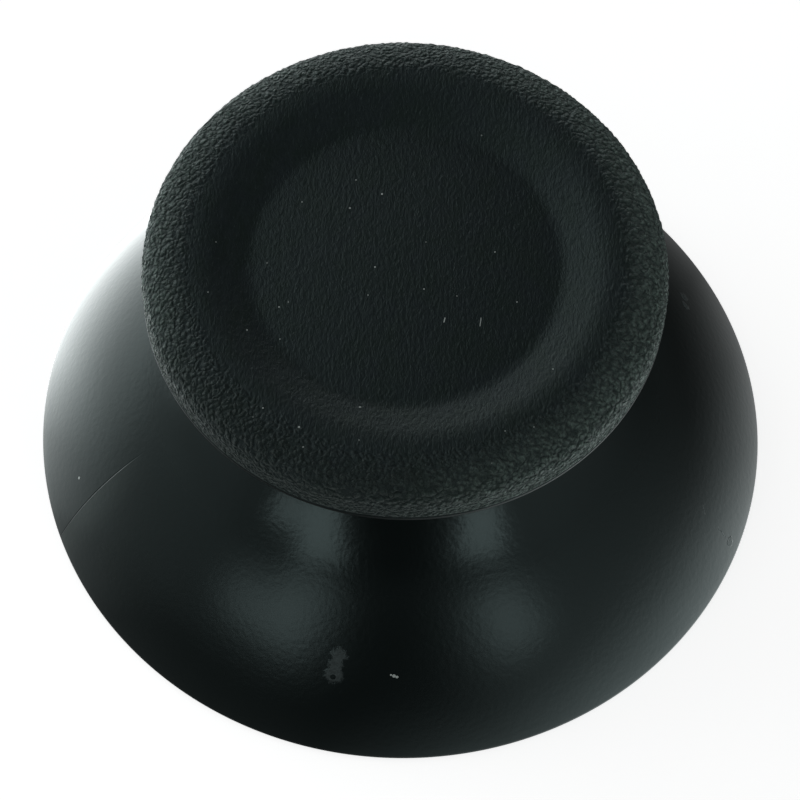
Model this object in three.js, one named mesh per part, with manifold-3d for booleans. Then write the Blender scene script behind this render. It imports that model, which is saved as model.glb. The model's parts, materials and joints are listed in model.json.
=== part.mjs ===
// Thumbstick cap of a game controller: a hard plastic moulding that carries a soft, overmoulded grip pad.
// Millimetres, +Z up. The origin is on the cap's axis, in the plane of the skirt's rim.
import * as THREE from "three";
import { mergeVertices } from "three/addons/utils/BufferGeometryUtils.js";
import Module from "manifold-3d";

// Skirt: a thin ball-shaped shell that hides the hole which the stick swings in.
// The rim's radius is taken to the sharp corner, before the edge is rounded.
// The ball's centre, which the stick tilts about, lies this far below the rim.
const rimRadius = 12.46;
const ballDepth = 5.2;
const skirtWall = 1.2;
const rimEdge = 0.2;

// Waist: the hollow curve that narrows the skirt to the neck under the disc.
const shoulderRadius = 8.4;
const waistCurve = 10.5;
const neckFillet = 0.8;

// Disc: the hard plate that carries the pad. Its bare lip shows as a thin line under the pad.
const discRadius = 9.0;
const discUnderside = 10.9;
const lipHeight = 0.57;
const lipRound = 0.35;
const coreRadius = 7.9;
const coreHeight = 0.5;
const coreEdge = 0.25;

// Boss and socket: the post inside the skirt and its two-flatted hole for the stick's shaft.
const bossRadius = 3.3;
const bossEnd = 1.3;
const bossRootFillet = 0.6;
const bossChamfer = 0.3;
const socketRound = 4.0;
const socketFlats = 3.0;
const socketDepth = 6.2;
const socketChamfer = 0.3;

// Gussets: four thin webs in the corner between the boss and the skirt.
const gussets = 4;
const gussetWall = 0.8;
const gussetFoot = 3.4;
const gussetReach = 6.2;
const gussetRoot = 0.4;

// Grip pad: a rolled ring round a shallow dish, with a low crown in the middle.
const padRadius = 9.0;
const padWaist = 0.58;
const padHeight = 1.73;
const ringCrestRadius = 7.2;
const ringRoll = 3.0;
const dishRadius = 5.35;
const dishSlope = 18;
const dishFillet = 0.5;
const crownRise = 0.3;
const padTuck = 0.05;
const padFootRound = 0.08;
const bondGap = 0.02;

// Facets: steps round the axis, and how far a facet of the section may lie off its true curve.
// All round forms share the steps, so pieces that meet have matching facets.
const turns = 60;
const sag = 0.01;

const degrees = Math.PI / 180;
const lipTop = discUnderside + lipHeight;
const coreTop = lipTop + coreHeight;
const skirtCurve = Math.hypot(rimRadius, ballDepth);
const hollowCurve = skirtCurve - skirtWall;
const ball = at(0, -ballDepth);

function at(r, z) {
  return new THREE.Vector2(r, z);
}

function angleTo(from, to) {
  return Math.atan2(to.y - from.y, to.x - from.x);
}

function onCircle(centre, radius, angle) {
  return at(centre.x + radius * Math.cos(angle), centre.y + radius * Math.sin(angle));
}

// Points on an arc of the section, from one angle to another, ends included.
function arc(centre, radius, from, to) {
  const step = 2 * Math.acos(1 - sag / radius);
  const steps = Math.max(1, Math.ceil(Math.abs(to - from) / step));
  return Array.from({ length: steps + 1 }, (_, i) =>
    onCircle(centre, radius, from + ((to - from) * i) / steps),
  );
}

// Height of the hollow's ball-shaped wall at a distance from the axis.
function hollowHeight(r, curve = hollowCurve) {
  return ball.y + Math.sqrt(curve ** 2 - r ** 2);
}

// A section is drawn as radius and height, then turned about the axis.
function turned(section) {
  return new THREE.LatheGeometry(section, turns).rotateX(Math.PI / 2);
}

// Inner edge of the moulding, from the boss's end on the axis, over the hollow and down to the rim.
function hollowSection() {
  const rimCurve = hollowCurve + rimEdge;
  const rimCentre = at(Math.sqrt(rimCurve ** 2 - (rimEdge - ball.y) ** 2), rimEdge);
  const rimAngle = angleTo(ball, rimCentre);
  const rootRadius = bossRadius + bossRootFillet;
  const rootCentre = at(rootRadius, hollowHeight(rootRadius, hollowCurve - bossRootFillet));
  const rootAngle = angleTo(ball, rootCentre);
  return [
    at(0, bossEnd),
    at(bossRadius - bossChamfer, bossEnd),
    at(bossRadius, bossEnd + bossChamfer),
    ...arc(rootCentre, bossRootFillet, Math.PI, rootAngle),
    ...arc(ball, hollowCurve, rootAngle, rimAngle).slice(1),
    ...arc(rimCentre, rimEdge, rimAngle + Math.PI, 1.5 * Math.PI).slice(1),
  ];
}

// Outer edge of the moulding, from the rim up over the skirt, the waist and the disc to the axis.
function outerSection() {
  const rimCurve = skirtCurve - rimEdge;
  const rimCentre = at(Math.sqrt(rimCurve ** 2 - (rimEdge - ball.y) ** 2), rimEdge);
  const rimAngle = angleTo(ball, rimCentre);
  const shoulderAngle = Math.acos(shoulderRadius / skirtCurve);
  const waistCentre = onCircle(ball, skirtCurve + waistCurve, shoulderAngle);
  const filletZ = discUnderside - neckFillet;
  const filletReach = Math.sqrt((waistCurve - neckFillet) ** 2 - (filletZ - waistCentre.y) ** 2);
  const filletCentre = at(waistCentre.x - filletReach, filletZ);
  const neckAngle = (angleTo(waistCentre, filletCentre) + 2 * Math.PI) % (2 * Math.PI);
  const lipCentre = at(discRadius - lipRound, discUnderside + lipRound);
  const coreCentre = at(coreRadius - coreEdge, coreTop - coreEdge);
  return [
    ...arc(rimCentre, rimEdge, -Math.PI / 2, rimAngle),
    ...arc(ball, skirtCurve, rimAngle, shoulderAngle).slice(1),
    ...arc(waistCentre, waistCurve, shoulderAngle + Math.PI, neckAngle).slice(1),
    ...arc(filletCentre, neckFillet, neckAngle, Math.PI / 2).slice(1),
    ...arc(lipCentre, lipRound, -Math.PI / 2, 0),
    at(discRadius, lipTop),
    at(coreRadius, lipTop),
    ...arc(coreCentre, coreEdge, 0, Math.PI / 2),
    at(0, coreTop),
  ];
}

// Section of the pad: its seat over the disc from the axis outwards, up its side and over its top.
function padSection() {
  const slope = dishSlope * degrees;
  const seat = lipTop + bondGap;
  const wallRadius = coreRadius + bondGap;
  const footCentre = at(padRadius - padTuck - padFootRound, seat + padFootRound);
  const rollCentre = at(ringCrestRadius, lipTop + padHeight - ringRoll);

  // The side's round is tangent to the ring's roll, and upright at the pad's widest height.
  const reach = padRadius - rollCentre.x;
  const rise = lipTop + padWaist - rollCentre.y;
  const sideRound = (ringRoll ** 2 - reach ** 2 - rise ** 2) / (2 * (ringRoll - reach));
  const sideCentre = at(padRadius - sideRound, lipTop + padWaist);
  const sideAngle = angleTo(rollCentre, sideCentre);

  // The ring's inner slope runs straight down to the dish, where a fillet meets the crown.
  const rollEnd = onCircle(rollCentre, ringRoll, Math.PI / 2 + slope);
  const dishZ = rollEnd.y - (rollEnd.x - dishRadius) * Math.tan(slope);
  const crownCurve = (dishRadius ** 2 + crownRise ** 2) / (2 * crownRise);
  const crownCentre = at(0, dishZ + crownRise - crownCurve);
  const filletCentre = valleyCentre(crownCentre, crownCurve, rollEnd, slope);
  const crownAngle = angleTo(crownCentre, filletCentre);
  return [
    at(0, coreTop + bondGap),
    at(wallRadius, coreTop + bondGap),
    at(wallRadius, seat),
    ...arc(footCentre, padFootRound, -Math.PI / 2, 0),
    ...arc(sideCentre, sideRound, 0, sideAngle),
    ...arc(rollCentre, ringRoll, sideAngle, Math.PI / 2 + slope).slice(1),
    ...arc(filletCentre, dishFillet, 1.5 * Math.PI + slope, crownAngle + Math.PI),
    ...arc(crownCentre, crownCurve, crownAngle, Math.PI / 2).slice(1),
  ];
}

// Centre of the fillet that touches both the crown and the line down the ring's inner slope.
function valleyCentre(crownCentre, crownCurve, slopeTop, slope) {
  const along = at(-Math.cos(slope), -Math.sin(slope));
  const start = onCircle(slopeTop, dishFillet, Math.PI / 2 + slope).sub(crownCentre);
  const half = start.dot(along);
  const span = half ** 2 - start.lengthSq() + (crownCurve + dishFillet) ** 2;
  return start.addScaledVector(along, -half - Math.sqrt(span)).add(crownCentre);
}

// A round with two flats, drawn about the axis.
function socketOutline() {
  const turn = Math.acos(socketFlats / socketRound);
  const shape = new THREE.Shape();
  shape.absarc(0, 0, socketRound / 2, turn, Math.PI - turn);
  shape.absarc(0, 0, socketRound / 2, Math.PI + turn, -turn);
  return shape;
}

function socketHole() {
  return new THREE.ExtrudeGeometry(socketOutline(), {
    depth: socketDepth,
    curveSegments: turns / 6,
    bevelEnabled: false,
  }).translate(0, 0, bossEnd);
}

// The lead-in that widens the socket towards its mouth.
function socketMouth() {
  return new THREE.ExtrudeGeometry(socketOutline(), {
    depth: socketChamfer,
    curveSegments: turns / 6,
    bevelThickness: socketChamfer,
    bevelSize: socketChamfer,
    bevelSegments: 1,
  }).translate(0, 0, bossEnd - socketChamfer);
}

// A triangle of web between the boss and the skirt, with its back edges sunk into both.
function gusset(angle) {
  const back = bossRadius - gussetRoot;
  const shape = new THREE.Shape([
    at(back, gussetFoot),
    at(bossRadius, gussetFoot),
    at(gussetReach, hollowHeight(gussetReach)),
    at(gussetReach, hollowHeight(gussetReach) + gussetRoot),
    at(back, hollowHeight(back) + gussetRoot),
  ]);
  return new THREE.ExtrudeGeometry(shape, { depth: gussetWall, bevelEnabled: false })
    .translate(0, 0, -gussetWall / 2)
    .rotateX(Math.PI / 2)
    .rotateZ(angle);
}

const wasm = await Module();
wasm.setup();

// A closed geometry as a solid that can be joined and cut.
function solid(geometry) {
  const bare = geometry.clone();
  bare.deleteAttribute("normal");
  bare.deleteAttribute("uv");
  const merged = mergeVertices(bare);
  return new wasm.Manifold(
    new wasm.Mesh({
      numProp: 3,
      vertProperties: merged.attributes.position.array,
      triVerts: new Uint32Array(merged.index.array),
    }),
  );
}

function geometryOf(shape) {
  const mesh = shape.getMesh();
  const geometry = new THREE.BufferGeometry();
  geometry.setAttribute("position", new THREE.BufferAttribute(mesh.vertProperties, 3));
  geometry.setIndex(new THREE.BufferAttribute(mesh.triVerts, 1));
  geometry.computeVertexNormals();
  return geometry;
}

// The hard moulding: skirt, waist, disc, boss, gussets and socket in one shot of plastic.
function stickBody() {
  let moulding = solid(turned([...hollowSection(), ...outerSection()]));
  for (let i = 0; i < gussets; i++) {
    moulding = moulding.add(solid(gusset(((i + 0.5) * 2 * Math.PI) / gussets)));
  }
  moulding = moulding.subtract(solid(socketHole())).subtract(solid(socketMouth()));
  const material = new THREE.MeshStandardMaterial({
    color: 0x14191a,
    roughness: 0.35,
    metalness: 0,
  });
  const mesh = new THREE.Mesh(geometryOf(moulding), material);
  mesh.name = "stick_body";
  return mesh;
}

// The soft pad, moulded over the disc's core down to the bare lip.
function gripPad() {
  const material = new THREE.MeshStandardMaterial({
    color: 0x1a2020,
    roughness: 0.85,
    metalness: 0,
  });
  const mesh = new THREE.Mesh(turned(padSection()), material);
  mesh.name = "grip_pad";
  return mesh;
}

const cap = new THREE.Group();
cap.add(stickBody(), gripPad());

export default cap;
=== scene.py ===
import json
import math
import random

import bmesh
import bpy
import numpy as np
from mathutils import Matrix, Quaternion, Vector, noise
from mathutils.bvhtree import BVHTree

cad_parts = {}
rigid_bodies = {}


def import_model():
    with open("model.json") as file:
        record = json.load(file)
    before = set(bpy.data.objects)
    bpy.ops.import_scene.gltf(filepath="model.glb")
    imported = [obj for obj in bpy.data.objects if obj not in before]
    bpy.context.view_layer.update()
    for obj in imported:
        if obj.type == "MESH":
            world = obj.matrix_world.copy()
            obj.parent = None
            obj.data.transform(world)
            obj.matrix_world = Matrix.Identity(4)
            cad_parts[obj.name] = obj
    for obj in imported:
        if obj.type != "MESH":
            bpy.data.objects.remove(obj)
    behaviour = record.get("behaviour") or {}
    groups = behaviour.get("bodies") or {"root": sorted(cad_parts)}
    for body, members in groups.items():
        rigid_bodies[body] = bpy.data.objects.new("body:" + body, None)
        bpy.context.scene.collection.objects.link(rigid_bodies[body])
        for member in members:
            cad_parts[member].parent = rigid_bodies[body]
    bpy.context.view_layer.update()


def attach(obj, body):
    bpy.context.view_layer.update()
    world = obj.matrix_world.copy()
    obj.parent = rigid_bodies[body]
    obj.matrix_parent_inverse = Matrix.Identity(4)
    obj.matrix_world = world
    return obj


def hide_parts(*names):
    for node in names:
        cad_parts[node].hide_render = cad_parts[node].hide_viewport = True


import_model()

mm = 0.001  # sections are drawn in millimetres, and pieces are finished in metres
fullTurn = 2 * math.pi

# The photograph's view, as fitted to the outlines of the pad and the rim.
view = {
    "imageSize": 800,
    "elevation": 61.99,  # degrees above the horizon
    "lean": 1.67,  # how far the cap leans to the right in the frame
    "distance": 666.7,  # mm from the origin
    "pixelsPerMm": 28.918,  # at the origin
    "originPixel": (400.35, 442.02),
    "sensor": 36.0,
}

skirt = {
    "rimRadius": 12.46,
    "ballDepth": 5.2,  # of the ball's centre, below the rim
    "wall": 1.2,
    "rimEdge": 0.2,
    "shoulderRadius": 8.4,
    "waistCurve": 10.5,
    "neckFillet": 0.8,
    "turnSteps": 320,
    "sag": 0.0012,  # how far a facet of the section may lie off its curve
    "sharpAngle": 32,  # degrees, past which an edge isn't smoothed over
}

disc = {
    "radius": 8.93,  # the grip stands a little proud of it, which makes the seam
    "underside": 10.9,
    "lipHeight": 0.42,
    "lipRound": 0.35,
    "lipTopRound": 0.06,
    "coreRadius": 7.9,
    "coreHeight": 0.65,
    "coreEdge": 0.25,
}

boss = {
    "radius": 3.3,
    "end": 1.3,
    "rootFillet": 0.6,
    "chamfer": 0.3,
    "faceInner": 2.75,
    "socketRound": 4.0,
    "socketFlats": 3.0,
    "socketDepth": 6.2,
    "socketChamfer": 0.3,
    "socketFloorChamfer": 0.1,
    "gussets": 4,
    "gussetWall": 0.8,
    "gussetFoot": 3.4,
    "gussetReach": 6.2,
    "gussetRoot": 0.4,
}

grip = {
    "radius": 9.0,
    "waist": 0.73,  # heights are above the lip
    "height": 1.88,
    "ringCrestRadius": 7.2,
    "ringRoll": 2.5,
    "dishRadius": 5.35,
    "dishSlope": 18,
    "dishFillet": 1.0,
    "crownRise": 0.3,
    "tuck": 0.05,
    "footRound": 0.08,
    "bondGap": 0.02,
    "gridCells": 290,
    "flank": (7.2, 8.3),  # the radii where the coarse grain of the side begins and is full
    "grainSize": 0.22,  # mm from one pebble to the next
    "grainHeight": 0.07,
    "grainSeed": 7,  # of noise_vector, which is seeded from the clock otherwise
    "topGrain": 0.2,  # the part of that height on the top
    "grainFade": 0.05,  # mm above the foot, over which the grain grows to its full height
    "grainBend": 0.45,  # how far the pebbles are pushed about, in pebbles
    "creaseWidth": 0.55,
    "pebbleShare": 0.62,  # the rest of the height is a slow swell
}

plastic = {
    "dark": (0.0018, 0.0032, 0.0026),
    "light": (0.0026, 0.0041, 0.0042),
    "roughness": 0.19,
    "domeRougher": 0.07,
    "dome": (4.8, 6.0),  # heights in mm where the rougher skirt ends
    "lipRougher": 0.2,
    "lip": (10.4, 10.9),  # heights in mm where the rougher lip begins
    "hazeRougher": 0.05,
    "scuffRougher": 0.25,
    "tint": (0.76, 1.0, 1.0),  # of the reflection, seen square on
    "peelSize": 0.2,  # mm
    "peelDepth": 0.006,
    "hazeSize": 3.5,
    "scuffed": (0.055, 0.066, 0.066),
    "scuffGrain": 0.16,  # mm
    "scuffDepth": 0.05,
    # Marks are a pixel of the photograph and half a size in mm.
    "scuffs": {"ring": (334, 675, 0.36), "middle": (336, 664, 0.30), "smear": (339, 655, 0.31),
               "upper right": (684, 297, 0.2), "upper right low": (686, 306, 0.18), "right edge": (730, 542, 0.2)},
    "holes": {"ring": (333, 677, 0.1)},
    "scratches": {"tick": (703, 506, 705, 514, 0.025), "right": (718, 527, 725, 536, 0.03)},
    "flecks": {"front": (394, 676, 0.06), "front tail": (391, 675, 0.035), "front end": (397, 677, 0.05),
               "left": (79, 478, 0.05)},
    # A painted reflection on the skirt's left: its edge, then the width and shade of the paler band above it, and a
    # crease bumped along the edge.
    "reflectionEdgeLine": ((61, 536), (148, 450), (105, 484)),  # both ends, and a place between
    "reflectionWidth": 1.3,  # mm over which the paler band dies away
    "paintedReflectionShade": (0.022, 0.027, 0.025),
    "edgeCrease": 0.4,
}

rubber = {
    "green": (0.0030, 0.0062, 0.0048),
    "blue": (0.0046, 0.0064, 0.0090),
    "roughness": 0.36,
    "specular": 0.5,
    "tint": (0.74, 1.0, 0.98),
    "sheen": 0.22,
    "sheenTint": (0.85, 1.0, 0.96),
    "sheenRoughness": 0.4,
    "patch": 1.3,  # mm, as the next sizes and depths are
    "wrinkle": 0.1,
    "wrinkleStretch": (1, 0.45, 1),  # wrinkles run longer from front to back
    "wrinkleDepth": 0.045,
    "mottle": 0.3,
    "pebble": 0.155,
    "pebbleDepth": 0.2,
    "bend": 0.35,
    "bendReach": 0.22,
    "fine": 0.09,
    "foot": (11.5, 12.4),  # the heights where the rougher foot ends
    "footRougher": 0.15,
    "paleFilmAndLeftLight": (0.010, 0.0135, 0.016),  # a dusty film, with painted light that makes it thicker and paler to the left
    "leftLightEdge": (-8.0, 2.0),  # mm across, where it is full and where it is thinnest
    # Painted light and wear: the side is painted paler than the top, partly as wear at the rim and partly as a
    # painted sheen where the light falls round it. The side is paler than the top in the photograph, and this shade
    # and its share by azimuth were fitted to that.
    "litAndWornSide": (0.29, 0.40, 0.35),
    "litAndWornRadii": (7.4, 8.8),  # the radii where it begins and is full
    "sideLightAt": [(-180, 0.35), (-120, 0.6), (-80, 0.7), (-60, 0.2), (-40, 0.08), (0, 0.15), (25, 0.7),
                 (60, 1.0), (100, 1.0), (180, 0.35)],
    "dust": (0.55, 0.6, 0.58),
    "specks": {
        "dish": [(356, 180), (302, 202), (350, 208), (267, 263), (375, 267), (495, 252), (426, 242),
                 (279, 307), (457, 296), (424, 289), (280, 339), (368, 295), (517, 302), (382, 194)],
        "ring": [(216, 242), (208, 292), (247, 330), (360, 407), (263, 408), (253, 417), (299, 427),
                 (359, 440), (303, 447), (534, 427), (553, 369), (505, 431)],
    },
    "speckSize": 0.036,
    "fibres": {"short": (445, 318, 444, 322, 0.018), "long": (481, 318, 480, 326, 0.014)},
    "dustCell": 1.5,  # mm between the finer specks that lie everywhere
    "dustSize": 0.028,
}

# Angles are in degrees round the cap's axis, 0 at the front and more to the right. The strengths by angle
# were fitted to the photograph's view, and light the cap at about a third of a plain level.
studio = {
    "tint": (0.97, 1.0, 1.0),
    "tableShade": 0.8,
    "tableWhite": 0.8,
    "tableHalf": 600,  # mm
    "tableDrop": 0.02,
    "tableNear": [(-180, 2.0), (-150, 3.0), (-105, 3.0), (-90, 1.3), (-77, 0.7), (-74, 0.4), (-55, 0.15),
                  (-35, 0.1), (-12, 0.1), (0, 0.2), (20, 0.55), (40, 1.0), (60, 1.3), (76, 1.3),
                  (92, 0.75), (108, 0.42), (125, 0.15), (160, 0.2), (172, 1.6), (180, 2.2)],
    "tableFar": [(-180, 1.0), (-150, 1.75), (-105, 1.0), (-90, 0.5), (-77, 0.28), (-55, 0.07), (-12, 0.04),
                 (20, 0.2), (40, 0.48), (60, 0.6), (76, 0.5), (92, 0.18), (108, 0.04), (140, 0.01), (160, 0.03),
                 (172, 0.8), (180, 1.2)],
    "walls": [(-180, 0.1), (-150, 0.2), (-120, 0.5), (-95, 0.38), (-70, 0.33), (-55, 0.15), (-15, 0.04),
              (12, 0.05), (25, 0.2), (60, 0.36), (90, 0.26), (115, 0.1), (150, 0.06), (180, 0.1)],
    "lowStrips": [(-180, 2.2), (-140, 2.4), (-115, 1.0), (-100, 0.0), (100, 0.0), (145, 0.1), (165, 0.8),
                  (180, 2.2)],
    "stripRise": (0.0, 0.33),  # sines of the elevation over which the strips fade
    "overheadRise": (0.6, 0.85),  # and over which the walls give way to the light overhead
    "overhead": [(-180, 0.17), (-120, 0.28), (-60, 0.22), (0, 0.14), (90, 0.1), (150, 0.12), (180, 0.17)],
    "boxDistance": 150,  # mm
    "boxTarget": (0, 0, 5),
    "boxes": {  # azimuth, elevation, width, height and roll in degrees, and radiance
        "left box": (-31, 23, 15, 25, -8, 1.45),
        "left low box": (-46, 18, 11, 13, 0, 1.25),
        "right box": (34, 21, 15, 21, 12, 1.3),
        "left key": (-120, 38, 50, 20, 0, 0.85),
    },
}

skirtCurve = math.hypot(skirt["rimRadius"], skirt["ballDepth"])


class Pen:  # draws a section in the XZ plane, with the radius along x
    def __init__(self, r, z):
        self.bm = bmesh.new()
        self.tip = self.bm.verts.new((r, 0, z))

    def line(self, r, z):
        made = bmesh.ops.extrude_vert_indiv(self.bm, verts=[self.tip])
        self.tip = made["verts"][0]
        self.tip.co = (r, 0, z)

    def arc(self, centre, towards, sag=skirt["sag"]):  # turns about centre until it points at that angle
        start = math.atan2(self.tip.co.z - centre[1], self.tip.co.x - centre[0])
        radius = math.hypot(self.tip.co.z - centre[1], self.tip.co.x - centre[0])
        sweep = (towards - start + math.pi) % fullTurn - math.pi
        steps = max(2, math.ceil(abs(sweep) / (2 * math.acos(1 - sag / radius))))
        made = bmesh.ops.spin(
            self.bm, geom=[self.tip], cent=(centre[0], 0, centre[1]), axis=(0, -1, 0),
            dvec=(0, 0, 0), angle=sweep, steps=steps, use_merge=False, use_duplicate=False,
        )
        self.tip = [g for g in made["geom_last"] if isinstance(g, bmesh.types.BMVert)][0]

    def points(self):  # radius and height of each point, in drawing order
        return np.array([(v.co.x, v.co.z) for v in self.bm.verts])


def onCircle(centre, radius, angle):
    return centre[0] + radius * math.cos(angle), centre[1] + radius * math.sin(angle)


def angleTo(start, end):
    return math.atan2(end[1] - start[1], end[0] - start[0])


def finishPiece(bm, name):
    bmesh.ops.recalc_face_normals(bm, faces=bm.faces)
    bmesh.ops.scale(bm, vec=(mm, mm, mm), verts=bm.verts)
    mesh = bpy.data.meshes.new(name)
    bm.to_mesh(mesh)
    bm.free()
    mesh.shade_smooth()
    piece = bpy.data.objects.new(name, mesh)
    bpy.context.scene.collection.objects.link(piece)
    return piece


# Shader maths reads as plain expressions on these.
class Signal:
    def __init__(self, shader, end):
        self.shader, self.end = shader, end

    def __add__(self, other):
        return self.shader.maths("ADD", self, other)

    def __radd__(self, other):
        return self.shader.maths("ADD", other, self)

    def __sub__(self, other):
        return self.shader.maths("SUBTRACT", self, other)

    def __rsub__(self, other):
        return self.shader.maths("SUBTRACT", other, self)

    def __mul__(self, other):
        return self.shader.maths("MULTIPLY", self, other)

    def __truediv__(self, other):
        return self.shader.maths("DIVIDE", self, other)

    def __rtruediv__(self, other):
        return self.shader.maths("DIVIDE", other, self)

    def __pow__(self, other):
        return self.shader.maths("POWER", self, other)

    def __lt__(self, other):
        return self.shader.maths("LESS_THAN", self, other)


class Shader:  # the node tree of a material or a world
    def __init__(self, owner):
        self.owner = owner
        owner.use_nodes = True
        self.tree = owner.node_tree
        self.tree.nodes.clear()

    def node(self, kind, settings=None, inputs=None, output=0):
        made = self.tree.nodes.new("ShaderNode" + kind)
        for name, value in (settings or {}).items():
            if name == "stops":
                ramp = made.color_ramp.elements
                while len(ramp) < len(value):
                    ramp.new(1)
                for stop, (position, shade) in zip(ramp, value):
                    stop.position, stop.color = position, shade
            else:
                setattr(made, name, value)
        for name, value in (inputs or {}).items():
            socket = made.inputs[name] if isinstance(name, int) else self.socketNamed(made, name)
            if isinstance(value, Signal):
                self.tree.links.new(value.end, socket)
            else:
                socket.default_value = value
        return Signal(self, made.outputs[output]) if made.outputs else None

    def socketNamed(self, node, name):  # a Mix node has several sockets of one name, and one is in use
        return next(s for s in node.inputs if s.name == name and s.enabled)

    def maths(self, operation, first, second):
        return self.node("Math", {"operation": operation}, {0: first, 1: second})

    def clamped(self, signal):
        return self.node("Clamp", {}, {0: signal})

    def ramp(self, signal, low, high):  # 0 below low, 1 above high, smooth between
        return self.node("MapRange", {"interpolation_type": "SMOOTHSTEP"},
                         {"Value": signal, "From Min": low, "From Max": high, "To Min": 0.0, "To Max": 1.0})

    def mixColour(self, factor, first, second):
        return self.node("Mix", {"data_type": "RGBA"}, {"Factor": factor, "A": first, "B": second}, output=2)

    def place(self):
        return self.node("TexCoord", output=3)

    def noise(self, place, size, detail=2.0, roughness=0.5, distortion=0.0):  # size in mm
        return self.node("TexNoise", {}, {"Vector": place, "Scale": 1 / (size * mm), "Detail": detail,
                                          "Roughness": roughness, "Distortion": distortion})

    def bump(self, height, depth, normal=None):  # depth in mm
        inputs = {"Height": height, "Distance": depth * mm, "Strength": 1.0}
        if normal:
            inputs["Normal"] = normal
        return self.node("Bump", {}, inputs)

    def distance(self, place, centre):  # mm
        return self.node("VectorMath", {"operation": "DISTANCE"}, {0: place, 1: centre}, output=1) / mm

    def along(self, place, start, direction):  # mm from start in that direction
        offset = self.node("VectorMath", {"operation": "SUBTRACT"}, {0: place, 1: start})
        return self.node("VectorMath", {"operation": "DOT_PRODUCT"}, {0: offset, 1: direction}, output=1) / mm

    def dots(self, place, spots):  # 1 inside any of the spots, which are places and half sizes in mm
        return self.clamped(sum(self.distance(place, centre) < half for centre, half in spots))

    def strokes(self, place, lines):  # 1 inside any of the thin lines, which are two places and half a width
        mask = 0
        for start, end, half in lines:
            offset = self.node("VectorMath", {"operation": "SUBTRACT"}, {0: place, 1: start})
            span = end - start
            unit = span / span.length_squared
            share = self.node("VectorMath", {"operation": "DOT_PRODUCT"}, {0: offset, 1: unit}, output=1)
            nearest = self.node("VectorMath", {"operation": "SCALE"}, {0: span, "Scale": self.clamped(share)})
            mask = mask + (self.distance(offset, nearest) < half)
        return self.clamped(mask)

    def azimuth(self, place):  # round the cap's axis, 0.5 at the front and more to the right
        x, y = (self.node("SeparateXYZ", {}, {"Vector": place}, output=i) for i in (0, 1))
        return self.maths("ARCTAN2", x, y * -1.0) / fullTurn + 0.5

    def greyRamp(self, position, stops, top):  # stops hold degrees and strengths, none above top
        shades = [(angle / 360 + 0.5, colour(*(strength / top,) * 3)) for angle, strength in stops]
        return self.node("ValToRGB", {"stops": shades}, {"Fac": position}) * top

    def finish(self, inputs):
        surface = self.node("BsdfPrincipled", {}, inputs)
        self.node("OutputMaterial", {}, {"Surface": surface})
        return self.owner


def colour(r, g, b):
    return r, g, b, 1.0


# The skirt, waist, neck and disc in one turned section, with the boss and its socket inside.
def bodySection():
    ball = (0, -skirt["ballDepth"])
    hollow = skirtCurve - skirt["wall"]
    edge = skirt["rimEdge"]

    def ballHeight(radius, r):
        return ball[1] + math.sqrt(radius ** 2 - r ** 2)

    def edgeCentre(radius):
        return math.sqrt(radius ** 2 - (edge - ball[1]) ** 2), edge

    pen = Pen(boss["faceInner"], boss["end"])
    pen.line(boss["radius"] - boss["chamfer"], boss["end"])
    pen.line(boss["radius"], boss["end"] + boss["chamfer"])

    rootRadius = boss["radius"] + boss["rootFillet"]
    root = (rootRadius, ballHeight(hollow - boss["rootFillet"], rootRadius))
    pen.line(boss["radius"], root[1])
    pen.arc(root, angleTo(ball, root))

    innerEdge = edgeCentre(hollow + edge)
    pen.arc(ball, angleTo(ball, innerEdge))
    pen.arc(innerEdge, -math.pi / 2)
    outerEdge = edgeCentre(skirtCurve - edge)
    pen.line(outerEdge[0], 0)
    pen.arc(outerEdge, angleTo(ball, outerEdge))

    shoulder = math.acos(skirt["shoulderRadius"] / skirtCurve)
    pen.arc(ball, shoulder)
    waist = onCircle(ball, skirtCurve + skirt["waistCurve"], shoulder)
    filletZ = disc["underside"] - skirt["neckFillet"]
    reach = math.sqrt((skirt["waistCurve"] - skirt["neckFillet"]) ** 2 - (filletZ - waist[1]) ** 2)
    fillet = (waist[0] - reach, filletZ)
    pen.arc(waist, angleTo(waist, fillet))
    pen.arc(fillet, math.pi / 2)

    lipTop = disc["underside"] + disc["lipHeight"]
    lip = (disc["radius"] - disc["lipRound"], disc["underside"] + disc["lipRound"])
    pen.line(lip[0], disc["underside"])
    pen.arc(lip, 0)
    corner = (disc["radius"] - disc["lipTopRound"], lipTop - disc["lipTopRound"])
    pen.line(disc["radius"], corner[1])
    pen.arc(corner, math.pi / 2)
    coreTop = lipTop + disc["coreHeight"]
    core = (disc["coreRadius"] - disc["coreEdge"], coreTop - disc["coreEdge"])
    pen.line(disc["coreRadius"], lipTop)
    pen.line(disc["coreRadius"], core[1])
    pen.arc(core, math.pi / 2)
    pen.line(0, coreTop)
    return pen.bm


def spunBody(bm):
    bmesh.ops.spin(
        bm, geom=bm.verts[:] + bm.edges[:], cent=(0, 0, 0), axis=(0, 0, 1), dvec=(0, 0, 0),
        angle=fullTurn, steps=skirt["turnSteps"], use_merge=True, use_duplicate=False,
    )
    bmesh.ops.remove_doubles(bm, verts=bm.verts, dist=1e-4)
    return bm


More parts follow.
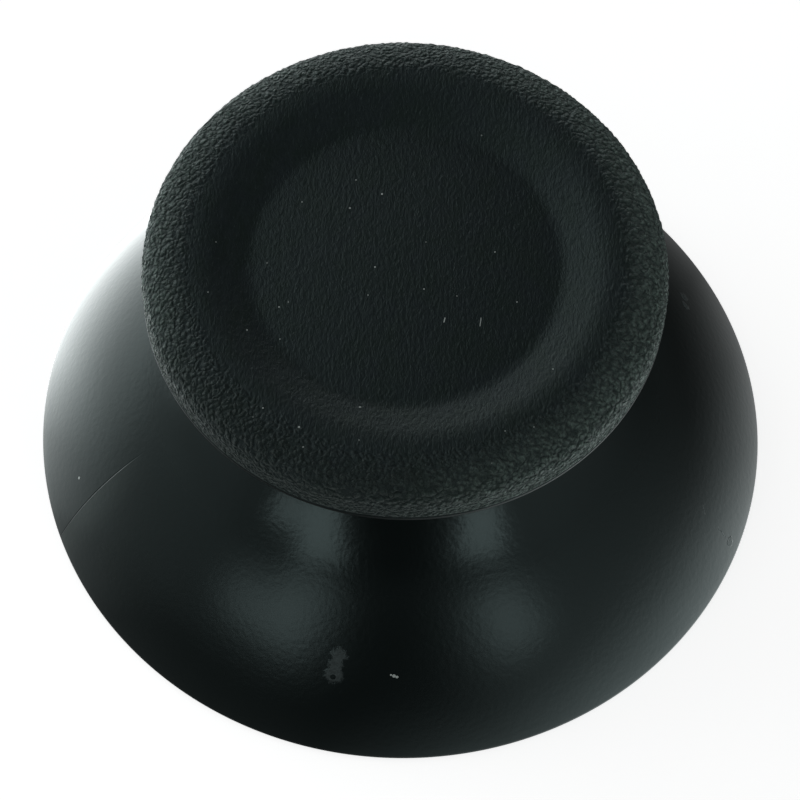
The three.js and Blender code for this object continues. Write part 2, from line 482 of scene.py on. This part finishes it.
def cutSocket(bm):  # the ring's open inner edge is drawn in to a round with two flats, and up
    def outline(widen, z):
        def placeVertex(v):
            angle = math.atan2(v.co.y, v.co.x)
            flat = (boss["socketFlats"] / 2 + widen) / max(abs(math.cos(angle)), 1e-6)
            radius = min(boss["socketRound"] / 2 + widen, flat)
            v.co = (radius * math.cos(angle), radius * math.sin(angle), z)
        return placeVertex

    floor = boss["end"] + boss["socketDepth"]
    loop = [e for e in bm.edges if e.is_boundary]
    floorChamfer = boss["socketFloorChamfer"]
    for place in (outline(boss["socketChamfer"], boss["end"]),
                  outline(0, boss["end"] + boss["socketChamfer"]),
                  outline(0, floor - floorChamfer),
                  outline(-floorChamfer, floor)):
        made = bmesh.ops.extrude_edge_only(bm, edges=loop)["geom"]
        for v in made:
            if isinstance(v, bmesh.types.BMVert):
                place(v)
        loop = [e for e in made if isinstance(e, bmesh.types.BMEdge) and e.is_boundary]
    bmesh.ops.holes_fill(bm, edges=loop, sides=0)


def gussetCutter():
    bm = bmesh.new()
    ball = -skirt["ballDepth"]
    hollow = skirtCurve - skirt["wall"]
    back = boss["radius"] - boss["gussetRoot"]
    root = boss["gussetRoot"]

    def height(r):
        return ball + math.sqrt(hollow ** 2 - r ** 2)

    corners = [(back, boss["gussetFoot"]), (boss["radius"], boss["gussetFoot"]),
               (boss["gussetReach"], height(boss["gussetReach"])),
               (boss["gussetReach"], height(boss["gussetReach"]) + root), (back, height(back) + root)]
    half = boss["gussetWall"] / 2
    for i in range(boss["gussets"]):
        verts = [bm.verts.new((r, -half, z)) for r, z in corners]
        face = bm.faces.new(verts)
        made = bmesh.ops.extrude_face_region(bm, geom=[face])["geom"]
        moved = [g for g in made if isinstance(g, bmesh.types.BMVert)]
        bmesh.ops.translate(bm, vec=(0, 2 * half, 0), verts=moved)
        turn = Matrix.Rotation((i + 0.5) * fullTurn / boss["gussets"], 3, "Z")
        bmesh.ops.rotate(bm, cent=(0, 0, 0), matrix=turn, verts=verts + moved)
    return bm


def buildBody():
    bm = spunBody(bodySection())
    cutSocket(bm)
    piece = finishPiece(bm, "moulded_body")
    cutter = finishPiece(gussetCutter(), "gusset_cutter")
    join = piece.modifiers.new("gussets", "BOOLEAN")
    join.operation, join.object, join.solver = "UNION", cutter, "EXACT"
    joined = bpy.data.meshes.new_from_object(piece.evaluated_get(bpy.context.evaluated_depsgraph_get()))
    piece.modifiers.clear()
    piece.data = joined
    bpy.data.objects.remove(cutter)
    joined.set_sharp_from_angle(angle=math.radians(skirt["sharpAngle"]))
    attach(piece, "root")
    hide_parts("stick_body")
    print("body:", len(joined.vertices), "vertices")
    return piece


# The pad's top and side as one section from the axis out, and its seat from the foot back in.
def gripSections():
    lipTop = disc["underside"] + disc["lipHeight"]
    coreTop = lipTop + disc["coreHeight"]
    slope = math.radians(grip["dishSlope"])
    roll = (grip["ringCrestRadius"], lipTop + grip["height"] - grip["ringRoll"])
    rollEnd = onCircle(roll, grip["ringRoll"], math.pi / 2 + slope)
    dishZ = rollEnd[1] - (rollEnd[0] - grip["dishRadius"]) * math.tan(slope)
    crownCurve = (grip["dishRadius"] ** 2 + grip["crownRise"] ** 2) / (2 * grip["crownRise"])
    crown = (0, dishZ + grip["crownRise"] - crownCurve)

    # The dish's fillet touches the crown and the straight slope above it.
    start = np.subtract(onCircle(rollEnd, grip["dishFillet"], math.pi / 2 + slope), crown)
    along = np.array([-math.cos(slope), -math.sin(slope)])
    half = start @ along
    span = half ** 2 - start @ start + (crownCurve + grip["dishFillet"]) ** 2
    fillet = tuple(start + along * (-half - math.sqrt(span)) + crown)

    # The side's round is tangent to the ring's roll, and upright at the widest height.
    reach = grip["radius"] - roll[0]
    rise = lipTop + grip["waist"] - roll[1]
    sideRound = (grip["ringRoll"] ** 2 - reach ** 2 - rise ** 2) / (2 * (grip["ringRoll"] - reach))
    side = (grip["radius"] - sideRound, lipTop + grip["waist"])
    footRadius = grip["radius"] - grip["tuck"]
    foot = (footRadius - grip["footRound"], lipTop + grip["bondGap"] + grip["footRound"])

    pen = Pen(0, crown[1] + crownCurve)
    pen.arc(crown, angleTo(crown, fillet))
    pen.arc(fillet, -math.pi / 2 + slope)
    pen.line(*rollEnd)
    pen.arc(roll, angleTo(roll, side))
    pen.arc(side, 0)
    pen.line(footRadius, foot[1])
    pen.arc(foot, -math.pi / 2)
    wallRadius = disc["coreRadius"] + grip["bondGap"]
    seat = [(wallRadius, lipTop + grip["bondGap"]), (wallRadius, coreTop + grip["bondGap"])]
    return pen.points(), seat


def grainHeight(place):  # pebbles with creases between them, 0 to 1
    spot = place / grip["grainSize"]
    spot = spot + grip["grainBend"] * noise.noise_vector(spot * 0.8)
    nearest, second = noise.voronoi(spot, distance_metric="DISTANCE", exponent=2.5)[0][:2]
    pebble = min(1.0, (second - nearest) / grip["creaseWidth"])
    swell = 0.5 + 0.5 * noise.noise(spot * 1.7)
    return grip["pebbleShare"] * pebble ** 0.7 + (1 - grip["pebbleShare"]) * swell


def buildGrip():
    section, seat = gripSections()
    steps = np.hypot(*np.diff(section, axis=0).T)
    along = np.concatenate([[0], np.cumsum(steps)])

    # A square grid is bent to concentric rings, so that its cells stay even all over the disc.
    bm = bmesh.new()
    bmesh.ops.create_grid(bm, x_segments=grip["gridCells"], y_segments=grip["gridCells"], size=1)
    for v in bm.verts:
        x, y = v.co.x, v.co.y
        ring = max(abs(x), abs(y))
        if ring < 1e-6:
            angle = 0.0
        elif abs(x) >= abs(y):
            angle = math.pi / 4 * (y / x) + (math.pi if x < 0 else 0)
        else:
            angle = math.pi / 2 - math.pi / 4 * (x / y) + (math.pi if y < 0 else 0)
        r = np.interp(ring * along[-1], along, section[:, 0])
        z = np.interp(ring * along[-1], along, section[:, 1])
        v.co = (r * math.cos(angle), r * math.sin(angle), z)
    bm.normal_update()
    noise.seed_set(grip["grainSeed"])
    footTop = disc["underside"] + disc["lipHeight"] + grip["bondGap"] + grip["footRound"]
    for v in bm.verts:
        fade = min(1.0, max(0.0, (v.co.z - footTop) / grip["grainFade"]))
        side = np.interp(math.hypot(v.co.x, v.co.y), grip["flank"], (grip["topGrain"], 1.0))
        if fade > 0:
            v.co += v.normal * (grainHeight(v.co.copy()) - 1.0) * grip["grainHeight"] * fade * side

    loop = [e for e in bm.edges if e.is_boundary]
    for r, z in seat:
        made = bmesh.ops.extrude_edge_only(bm, edges=loop)["geom"]
        for v in made:
            if isinstance(v, bmesh.types.BMVert):
                scale = r / math.hypot(v.co.x, v.co.y)
                v.co = (v.co.x * scale, v.co.y * scale, z)
        loop = [e for e in made if isinstance(e, bmesh.types.BMEdge) and e.is_boundary]
    bmesh.ops.holes_fill(bm, edges=loop, sides=0)
    piece = finishPiece(bm, "grained_grip")
    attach(piece, "root")
    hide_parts("grip_pad")
    print("grip:", len(piece.data.vertices), "vertices")
    return piece


# Finds the places on the finished pieces that pixels of the photograph show.
class Sight:
    def __init__(self, camera, pieces):
        self.turn, self.eye = camera.matrix_world.to_3x3(), camera.matrix_world.translation.copy()
        shapes = bpy.context.evaluated_depsgraph_get()
        self.trees = [BVHTree.FromObject(piece, shapes) for piece in pieces]

    def spot(self, x, y):
        half = view["imageSize"] / 2
        aim = Vector((x - half, half - y, -view["pixelsPerMm"] * view["distance"])).normalized()
        hits = [tree.ray_cast(self.eye, self.turn @ aim) for tree in self.trees]
        return min((hit for hit in hits if hit[0]), key=lambda hit: hit[3])[0]

    def dots(self, marks):
        return [(self.spot(x, y), half) for x, y, half in marks]

    def lines(self, marks):
        return [(self.spot(x, y), self.spot(u, v), half) for x, y, u, v, half in marks]


# A faint line curves over the left of the skirt, bumped in as a crease, with a painted reflection above it: a paler
# band on its upper side.
def reflectionEdgeBand(shader, place, sight):
    start, end, middle = (sight.spot(*pixel) for pixel in plastic["reflectionEdgeLine"])
    span = (end - start).normalized()
    across = (middle - start).cross(span).normalized()
    if across.z < 0:
        across = -across
    side = shader.along(place, start, across)
    run = shader.along(place, start, span)
    length = (end - start).length / mm
    inside = shader.ramp(run, -0.3, 0.1) * (1 - shader.ramp(run, length * 0.45, length * 1.05))
    near = shader.distance(place, middle) < length * 0.75
    paintedReflection = shader.ramp(side, 0.0, 0.03) * (1 - shader.ramp(side, 0.03, plastic["reflectionWidth"]))
    crease = shader.ramp(side, -0.05, -0.02) * (1 - shader.ramp(side, -0.02, 0.01))
    return paintedReflection * inside * near, crease * inside * near


def plasticMaterial(sight):
    shader = Shader(bpy.data.materials.new("black semi-gloss plastic"))
    place = shader.place()
    height = shader.node("SeparateXYZ", {}, {"Vector": place}, output=2) / mm
    peel = shader.noise(place, plastic["peelSize"], detail=2.0, roughness=0.5)
    haze = shader.noise(place, plastic["hazeSize"], detail=3, roughness=0.6)
    dome = 1 - shader.ramp(height, *plastic["dome"])
    lip = shader.ramp(height, *plastic["lip"])

    broken = shader.noise(place, plastic["scuffGrain"], detail=2.0, roughness=0.6)
    scuff = 0
    for centre, half in sight.dots(plastic["scuffs"].values()):
        edge = shader.distance(place, centre) + (broken - 0.5) * 0.4
        scuff = scuff + (1 - shader.ramp(edge, half * 0.6, half))
    hole = shader.dots(place, sight.dots(plastic["holes"].values()))
    scratch = shader.strokes(place, sight.lines(plastic["scratches"].values()))
    scuff = shader.clamped(scuff * (0.35 + broken) * (1 - hole) + scratch * 0.8)
    fleck = shader.dots(place, sight.dots(plastic["flecks"].values()))
    paintedReflection, crease = reflectionEdgeBand(shader, place, sight)

    base = shader.mixColour(haze, colour(*plastic["dark"]), colour(*plastic["light"]))
    # Painted reflection: the paler band above the line on the skirt's left.
    base = shader.mixColour(paintedReflection, base, colour(*plastic["paintedReflectionShade"]))
    base = shader.mixColour(scuff, base, colour(*plastic["scuffed"]))
    base = shader.mixColour(fleck, base, colour(*rubber["dust"]))
    normal = shader.bump(peel, plastic["peelDepth"])
    normal = shader.bump(scuff * broken - hole - crease * plastic["edgeCrease"], plastic["scuffDepth"], normal)
    rougher = dome * plastic["domeRougher"] + lip * plastic["lipRougher"]
    return shader.finish({
        "Base Color": base,
        "Roughness": plastic["roughness"] + rougher + haze * plastic["hazeRougher"] + scuff * plastic["scuffRougher"],
        "Specular Tint": colour(*plastic["tint"]),
        "Normal": normal,
    })


# Fine wrinkles on the pad's top, and coarse leathery pebbles round its side.
def rubberMaterial(sight):
    shader = Shader(bpy.data.materials.new("black grained rubber"))
    place = shader.place()
    flat = shader.node("VectorMath", {"operation": "MULTIPLY"}, {0: place, 1: (1, 1, 0)})
    radius = shader.node("VectorMath", {"operation": "LENGTH"}, {0: flat}, output=1) / mm
    flank = shader.ramp(radius, *grip["flank"])
    patches = shader.noise(place, rubber["patch"], detail=4, roughness=0.65)

    drawn = shader.node("VectorMath", {"operation": "MULTIPLY"}, {0: place, 1: rubber["wrinkleStretch"]})
    wrinkles = shader.noise(drawn, rubber["wrinkle"], detail=3.0, roughness=0.65, distortion=0.25)
    bend = shader.node("TexNoise", {}, {"Vector": place, "Scale": 1 / (rubber["bend"] * mm), "Detail": 1.0}, output=1)
    moved = shader.node("VectorMath", {"operation": "SCALE"}, {0: bend, "Scale": rubber["bendReach"] * mm})
    bent = shader.node("VectorMath", {"operation": "ADD"}, {0: place, 1: moved})
    pebbles = shader.node("TexVoronoi", {"feature": "SMOOTH_F1"},
                          {"Vector": bent, "Scale": 1 / (rubber["pebble"] * mm), "Smoothness": 0.35})
    fine = shader.noise(bent, rubber["fine"], detail=2.0, roughness=0.6)
    pits = shader.ramp(pebbles, 0.12, 0.8)
    across, height = (shader.node("SeparateXYZ", {}, {"Vector": place}, output=i) / mm for i in (0, 2))
    foot = 1 - shader.ramp(height, *rubber["foot"])
    mottle = shader.ramp(shader.noise(drawn, rubber["mottle"], detail=3.0, roughness=0.7), 0.42, 0.62)
    # A dusty film with painted light: mottled all over, and painted paler towards the left, where the light falls.
    paleFilmAndLeftLight = (0.15 + (1 - shader.ramp(across, *rubber["leftLightEdge"])) * (0.2 + patches * 0.7)) * mottle

    sizes = random.Random(7)
    specks = [(x, y, rubber["speckSize"] * sizes.uniform(0.5, 1.05))
              for group in rubber["specks"].values() for x, y in group]
    cell = {"Vector": place, "Scale": 1 / (rubber["dustCell"] * mm)}
    stray = shader.node("TexVoronoi", {}, cell) * rubber["dustCell"] < rubber["dustSize"]
    dust = (shader.dots(place, sight.dots(specks))
            + shader.strokes(place, sight.lines(rubber["fibres"].values())) + stray * 0.5)

    bluer = shader.ramp(patches, 0.35, 0.65)
    base = shader.mixColour(bluer, colour(*rubber["green"]), colour(*rubber["blue"]))
    base = shader.mixColour(paleFilmAndLeftLight, base, colour(*rubber["paleFilmAndLeftLight"]))
    # Painted light and wear on the side: the pebble tops are painted paler, most where the light falls round the pad.
    share = shader.greyRamp(shader.azimuth(place), rubber["sideLightAt"], top=1.0)
    sideLitShare = shader.ramp(radius, *rubber["litAndWornRadii"]) * share
    litPebbleTops = sideLitShare * (1 - pits * 0.8) * shader.ramp(fine, 0.1, 0.75)
    base = shader.mixColour(shader.clamped(litPebbleTops), base, colour(*rubber["litAndWornSide"]))
    base = shader.mixColour(shader.clamped(dust), base, colour(*rubber["dust"]))
    normal = shader.bump(wrinkles, rubber["wrinkleDepth"])
    normal = shader.bump(((1 - pits) * 0.8 + fine * 0.7) * flank, rubber["pebbleDepth"], normal)
    rougher = wrinkles * 0.1 + pits * flank * 0.15 + foot * rubber["footRougher"]
    return shader.finish({
        "Base Color": base,
        "Roughness": rubber["roughness"] + rougher,
        "Normal": normal,
        "Specular IOR Level": rubber["specular"],
        "Specular Tint": colour(*rubber["tint"]),
        "Sheen Weight": rubber["sheen"],
        "Sheen Roughness": rubber["sheenRoughness"],
        "Sheen Tint": colour(*rubber["sheenTint"]),
    })


# The table is white to the camera. To the cap it is a soft ring of light, dark in front.
def buildFloor():
    shader = Shader(bpy.data.materials.new("white table"))
    place = shader.place()
    radius = shader.node("VectorMath", {"operation": "LENGTH"}, {0: place}, output=1) / mm
    near = shader.greyRamp(shader.azimuth(place), studio["tableNear"], top=3.0)
    far = shader.greyRamp(shader.azimuth(place), studio["tableFar"], top=2.0)
    glow = near * (skirt["rimRadius"] / radius) ** 2 + far
    shade = studio["tableShade"]
    diffuse = shader.node("BsdfDiffuse", {}, {"Color": colour(shade, shade, shade)})
    white = shader.node("Emission", {}, {"Color": colour(1, 1, 1), "Strength": studio["tableWhite"]})
    seen = shader.node("AddShader", {}, {0: diffuse, 1: white})
    glowing = shader.node("Emission", {}, {"Color": colour(*studio["tint"]), "Strength": glow})
    isSeen = shader.node("LightPath", output=0)
    surface = shader.node("MixShader", {}, {0: isSeen, 1: glowing, 2: seen})
    shader.node("OutputMaterial", {}, {"Surface": surface})
    shader.owner.cycles.emission_sampling = "NONE"
    bm = bmesh.new()
    bmesh.ops.create_grid(bm, x_segments=1, y_segments=1, size=studio["tableHalf"])
    bmesh.ops.translate(bm, vec=(0, 0, -studio["tableDrop"]), verts=bm.verts)
    floor = finishPiece(bm, "floor")
    floor.data.materials.append(shader.owner)


def buildWorld():
    world = bpy.data.worlds.new("studio")
    bpy.context.scene.world = world
    shader = Shader(world)
    direction = shader.node("TexCoord", output=0)
    rise = shader.node("SeparateXYZ", {}, {"Vector": direction}, output=2)
    walls = shader.greyRamp(shader.azimuth(direction), studio["walls"], top=1.0)
    strips = shader.greyRamp(shader.azimuth(direction), studio["lowStrips"], top=3.0)
    ceiling = shader.greyRamp(shader.azimuth(direction), studio["overhead"], top=1.0)
    overhead = shader.ramp(rise, *studio["overheadRise"])
    low = 1 - shader.ramp(rise, *studio["stripRise"])
    strength = walls * (1 - overhead) + strips * low + overhead * ceiling
    room = shader.node("Background", {}, {"Color": colour(*studio["tint"]), "Strength": strength})
    white = shader.node("Background", {}, {"Color": colour(1, 1, 1), "Strength": 1.0})
    isSeen = shader.node("LightPath", output=0)
    surface = shader.node("MixShader", {}, {0: isSeen, 1: room, 2: white})
    shader.node("OutputWorld", {}, {"Surface": surface})


def buildSoftboxes():
    target = Vector(studio["boxTarget"])
    for name, (azimuth, elevation, width, height, roll, radiance) in studio["boxes"].items():
        a, e, distance = math.radians(azimuth), math.radians(elevation), studio["boxDistance"]
        direction = Vector((math.sin(a) * math.cos(e), -math.cos(a) * math.cos(e), math.sin(e)))
        lamp = bpy.data.lights.new(name, "AREA")
        lamp.shape = "RECTANGLE"
        lamp.size = 2 * distance * math.tan(math.radians(width / 2)) * mm
        lamp.size_y = 2 * distance * math.tan(math.radians(height / 2)) * mm
        lamp.energy = radiance * math.pi * lamp.size * lamp.size_y
        lamp.color = studio["tint"]
        thing = bpy.data.objects.new(name, lamp)
        bpy.context.scene.collection.objects.link(thing)
        thing.location = (direction * distance + target) * mm
        turn = (-direction).to_track_quat("-Z", "Y") @ Quaternion((0, 0, 1), math.radians(roll))
        thing.rotation_euler = turn.to_euler()
        thing.visible_camera = False


def buildCamera():
    e, lean = math.radians(view["elevation"]), math.radians(view["lean"])
    forward = Vector((0, math.cos(e), -math.sin(e)))
    right = Vector((1, 0, 0))
    up = right.cross(forward)
    axisX = right * math.cos(lean) + up * math.sin(lean)
    axisY = up * math.cos(lean) - right * math.sin(lean)
    place = -forward * view["distance"]
    half = view["imageSize"] / 2
    offset = (axisX * (half - view["originPixel"][0]) + axisY * (view["originPixel"][1] - half))
    aim = offset / view["pixelsPerMm"] - place
    back = -aim.normalized()
    axisX = axisY.cross(back).normalized()
    axisY = back.cross(axisX)
    camera = bpy.data.cameras.new("camera")
    camera.sensor_width = view["sensor"]
    camera.lens = view["pixelsPerMm"] * view["distance"] / view["imageSize"] * view["sensor"]
    thing = bpy.data.objects.new("camera", camera)
    bpy.context.scene.collection.objects.link(thing)
    turn = Matrix((axisX, axisY, back)).transposed()
    thing.matrix_world = Matrix.Translation(place * mm) @ turn.to_4x4()
    bpy.context.scene.camera = thing
    return thing


camera = buildCamera()
buildFloor()
buildWorld()
buildSoftboxes()
body, pad = buildBody(), buildGrip()
sight = Sight(camera, [body, pad])
body.data.materials.append(plasticMaterial(sight))
pad.data.materials.append(rubberMaterial(sight))
print("materials: plastic and rubber")
bpy.context.scene.view_settings.view_transform = "Standard"
